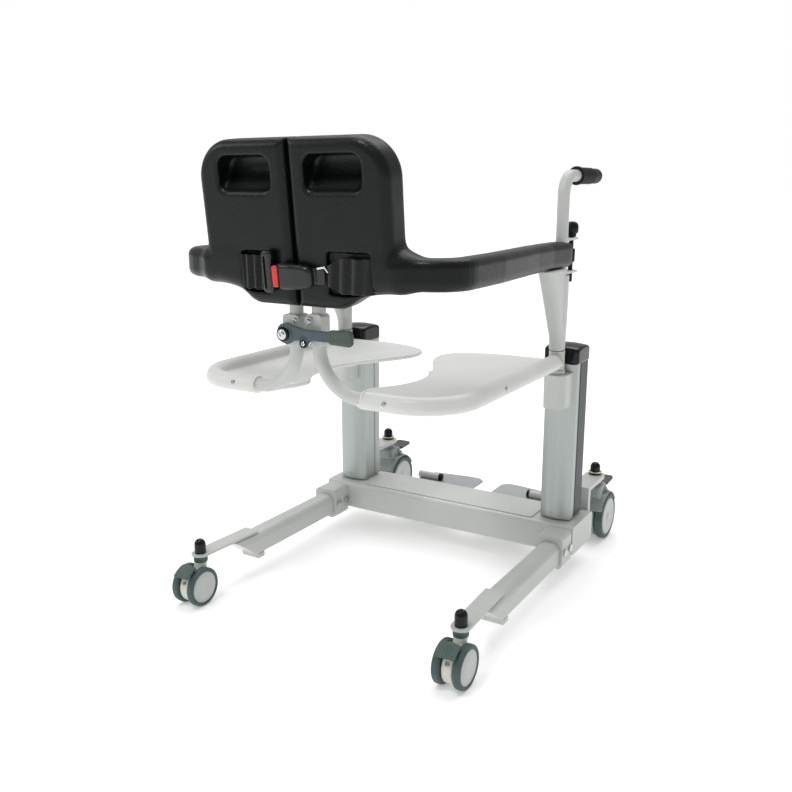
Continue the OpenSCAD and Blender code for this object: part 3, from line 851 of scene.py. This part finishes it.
def lever_rubber_field(x, y, z):
    flare = 1.6 * smooth_step(-x, 40, 88)
    d = rect(x, z, -93, -53, 486.5 - flare, 505.5 + flare, 6.5)
    d = slab(d, y, 33.4, 42.4, 3.6)
    groove = np.abs(np.mod(-x - 58, 5.0) - 2.5) - 0.5
    cut = np.maximum(np.maximum(groove, 42.0 - y), np.abs(z - 496) - 6)
    return smax(d, -np.maximum(cut, np.abs(x + 73) - 15), 0.4)


solid("lever_bar", lever_field, (-58, 32, 476), (38, 42, 512), 0.9, LEVER,
      "lever", stands_for=["latch_lever"], slot="lever_paint")
solid("lever_handle", lever_rubber_field, (-95, 32, 482), (-51, 44, 509),
      0.8, LEVER_RUBBER, "lever", stands_for=["lever_grip"],
      slot="lever_rubber")
ring = turned([(40.2, 7.4), (40.2, 10.2), (41.8, 10.6), (43.4, 9.8),
               (43.8, 7.6)], (22, 0, 494), "y", 48)
piece("lever_ring", ring[0], ring[1], SHINY_BLACK, "lever", sharp=50)
screw("latch_hex", (22, 44.6, 494), "y", 5.6, 2.2, "left_half", skin=CHROME,
      hole=0.45)
screw("hook_bolt", (-11, 38.4, 483), "y", 3.8, 2.6, "lever", skin=CHROME)
hook_ring = turned([(38.3, 3.4), (38.3, 5.9), (39.3, 6.3), (40.2, 5.6),
                    (40.4, 3.6)], (-11, 0, 483), "y", 40)
piece("hook_ring", *hook_ring, SHINY_BLACK, "lever", sharp=50)
screw("keeper_bolt", (-14, 29.6, 513), "y", 4.2, 3.4, "right_half",
      skin=CHROME)
screw("keeper_bolt_low", (-14, 29.6, 484), "y", 4.6, 3.2, "right_half",
      skin=CHROME)
screw("clamp_bolt", (12, 25.8, 513), "y", 3.6, 2.6, "left_half",
      skin=CHROME)

# ---------------------------------------------------------------------- belt
def on_back(x, y, z):
    """Depth and height on the leaning rear face."""
    ly, lz = leaned(y, z)
    return x, ly, lz


def left_webbing(x, y, z):
    x, ly, lz = on_back(x, y, z)
    fold = 3.4 + 2.3 * np.sin(x * 0.46 + 0.03 * lz)
    fold = fold * smooth_step(x, 93, 84) - 2.5 * smooth_step(x, 84, 93)
    d = np.abs(ly - fold) * 0.55 - 0.8
    edge = rect(x, lz, 34, 93, 556 + 1.2 * np.sin(x * 0.3), 603, 3)
    return corner(d, edge, 0.5)


def right_webbing(x, y, z):
    x, ly, lz = on_back(x, y, z)
    fold = 3.2 + 2.4 * np.sin(x * 0.33 - 0.035 * lz)
    fold = fold * smooth_step(x, 128, 112) - 3 * smooth_step(x, 112, 128)
    d = np.abs(ly - fold) * 0.55 - 0.8
    # the webbing narrows towards the pin that holds it
    top = 604 - 10 * smooth_step(x, 84, 58)
    low = 557 + 9 * smooth_step(x, 84, 58)
    edge = np.maximum(np.maximum(58 - x, x - 127),
                      np.maximum(lz - top, low - lz))
    return corner(d, edge, 0.5)


def slider_field(x, y, z):
    x, ly, lz = on_back(x, y, z)
    bar = slab(rect(x, lz, 28, 45.5, 553, 612, 6), ly, 2.5, 13.5, 4.5)
    link = slab(rect(x, lz, 8.5, 32, 567.5, 589, 3), ly, 8, 11, 1)
    slot = slab(rect(x, lz, 37.5, 41, 560, 604, 1.5), ly, 9.5, 16, 0.8)
    return smin(smax(bar, -slot, 1), link, 1.5)


def buckle_field(x, y, z):
    x, ly, lz = on_back(x, y, z)
    nose = 1 - 0.17 * smooth_step(-x, 5, 38)
    d = rect(x, (lz - 578) / nose + 578, -39, 22, 560, 596, 11)
    d = slab(d, ly, 3, 19.5 - 3.2 * smooth_step(-x, 2, 38), 6.5)
    mouth = slab(rect(x, lz, 10.2, 30, 562.0, 594.0, 1), ly, 11.5, 24, 0.5)
    link = slab(rect(x, lz, 5, 23, 565, 591, 1), ly, 7, 12.2, 0.5)
    d = smax(d, -np.minimum(mouth, link), 0.6)
    tail = slab(rect(x, lz, -56, -34, 568, 590, 4), ly, 2.6, 6.4, 1.5)
    return smin(d, tail, 3)


def button_field(x, y, z):
    x, ly, lz = on_back(x, y, z)
    return slab(rect(x, lz, 14.2, 23.8, 563.2, 592.8, 2.5), ly, 12.4,
                18.2, 1.6)


solid("strap_folds_left", left_webbing, (32, 30, 545), (96, 62, 612), 0.95,
      WEBBING, "left_half", stands_for=["belt_strap_left"], slot="webbing")
solid("strap_folds_right", right_webbing, (56, 30, 545), (130, 62, 612),
      0.95, WEBBING, "right_half", stands_for=["belt_strap_right"],
      slot="webbing", mirror=True)
solid("belt_slider", slider_field, (6, 34, 548), (48, 60, 618), 0.85,
      BUCKLE, "left_half", stands_for=["belt_tongue"], slot="buckle_black")
solid("belt_lock", buckle_field, (-58, 34, 554), (24, 66, 602), 0.95,
      BUCKLE, "right_half", stands_for=["belt_buckle"],
      slot="buckle_black")
solid("belt_button", button_field, (12, 44, 558), (26, 64, 598), 0.7, RED,
      "release_button", stands_for=["buckle_button"], slot="button_red")


def pin_field(x, y, z):
    x, ly, lz = on_back(x, y, z)
    pin = capsule(x, ly, lz, (-46, 7.0, 590), (-57, 6.6, 592), 1.7)
    hook = capsule(x, ly, lz, (-57, 6.6, 592), (-61, 5.6, 586), 1.6)
    return np.minimum(pin, hook)


solid("belt_pin", pin_field, (-72, 34, 556), (-40, 60, 606), 0.7, CHROME,
      "right_half")

# ------------------------------------------------- floor, light and camera
floor_mesh = bpy.data.meshes.new("floor")
reach = 60.0
floor_mesh.from_pydata([(-reach, -reach, 0), (reach, -reach, 0),
                        (reach, reach, 0), (-reach, reach, 0)], [],
                       [(0, 1, 2, 3)])
floor_paint = material("floor_paint", (0.93, 0.93, 0.93), 0.9, mottle=0.004,
                       mottle_size=900, specular=0.1)
glow = floor_paint.node_tree.nodes["Principled BSDF"].inputs
glow["Emission Color"].default_value = (1, 1, 1, 1)
glow["Emission Strength"].default_value = 0.28
floor_mesh.materials.append(floor_paint)
floor = bpy.data.objects.new("floor", floor_mesh)
bpy.context.scene.collection.objects.link(floor)

world = bpy.data.worlds.new("studio")
bpy.context.scene.world = world
world.use_nodes = True
sky, wires = world.node_tree.nodes, world.node_tree.links
sky["Background"].inputs["Color"].default_value = (1, 1, 1, 1)
sky["Background"].inputs["Strength"].default_value = 0.46
white = sky.new("ShaderNodeBackground")
white.inputs["Color"].default_value = (1, 1, 1, 1)
seen = sky.new("ShaderNodeLightPath")
either = sky.new("ShaderNodeMixShader")
wires.new(seen.outputs["Is Camera Ray"], either.inputs[0])
wires.new(sky["Background"].outputs[0], either.inputs[1])
wires.new(white.outputs[0], either.inputs[2])
wires.new(either.outputs[0], sky["World Output"].inputs["Surface"])


def light(kind, name, at, to, power, size):
    data = bpy.data.lights.new(name, kind)
    data.energy = power
    if kind == "SUN":
        data.angle = math.radians(size)
    else:
        data.shape = "DISK"
        data.size = size
    o = bpy.data.objects.new(name, data)
    o.location = at
    o.rotation_mode = "QUATERNION"
    o.rotation_quaternion = (Vector(to) - Vector(at)).to_track_quat("-Z",
                                                                    "Y")
    bpy.context.scene.collection.objects.link(o)


light("SUN", "overhead", (0.5, -1.4, 3.2), (0, 0, 0), 1.7, 60)
light("AREA", "left_softbox", (2.2, 1.6, 1.9), (0, 0, 0.4), 14, 1.4)
light("AREA", "rim_softbox", (0.2, 1.3, 2.5), (0, 0.3, 0.7), 13, 0.5)

cam_data = bpy.data.cameras.new("camera")
cam_data.sensor_width = 36
cam_data.lens = 39.94
cam_data.clip_start = 0.02
cam_data.clip_end = 200
camera = bpy.data.objects.new("camera", cam_data)
yaw, pitch = math.radians(30.96), math.radians(13.54)
ahead = Vector((math.sin(yaw) * math.cos(pitch),
                -math.cos(yaw) * math.cos(pitch), -math.sin(pitch)))
camera.location = (-0.7386, 1.0020 + MID_Y * 0.001,
                   0.6978 - FLOOR_Z * 0.001)
camera.rotation_mode = "QUATERNION"
camera.rotation_quaternion = ahead.to_track_quat("-Z", "Y")
bpy.context.scene.collection.objects.link(camera)
bpy.context.scene.camera = camera
bpy.context.scene.view_settings.view_transform = "Standard"
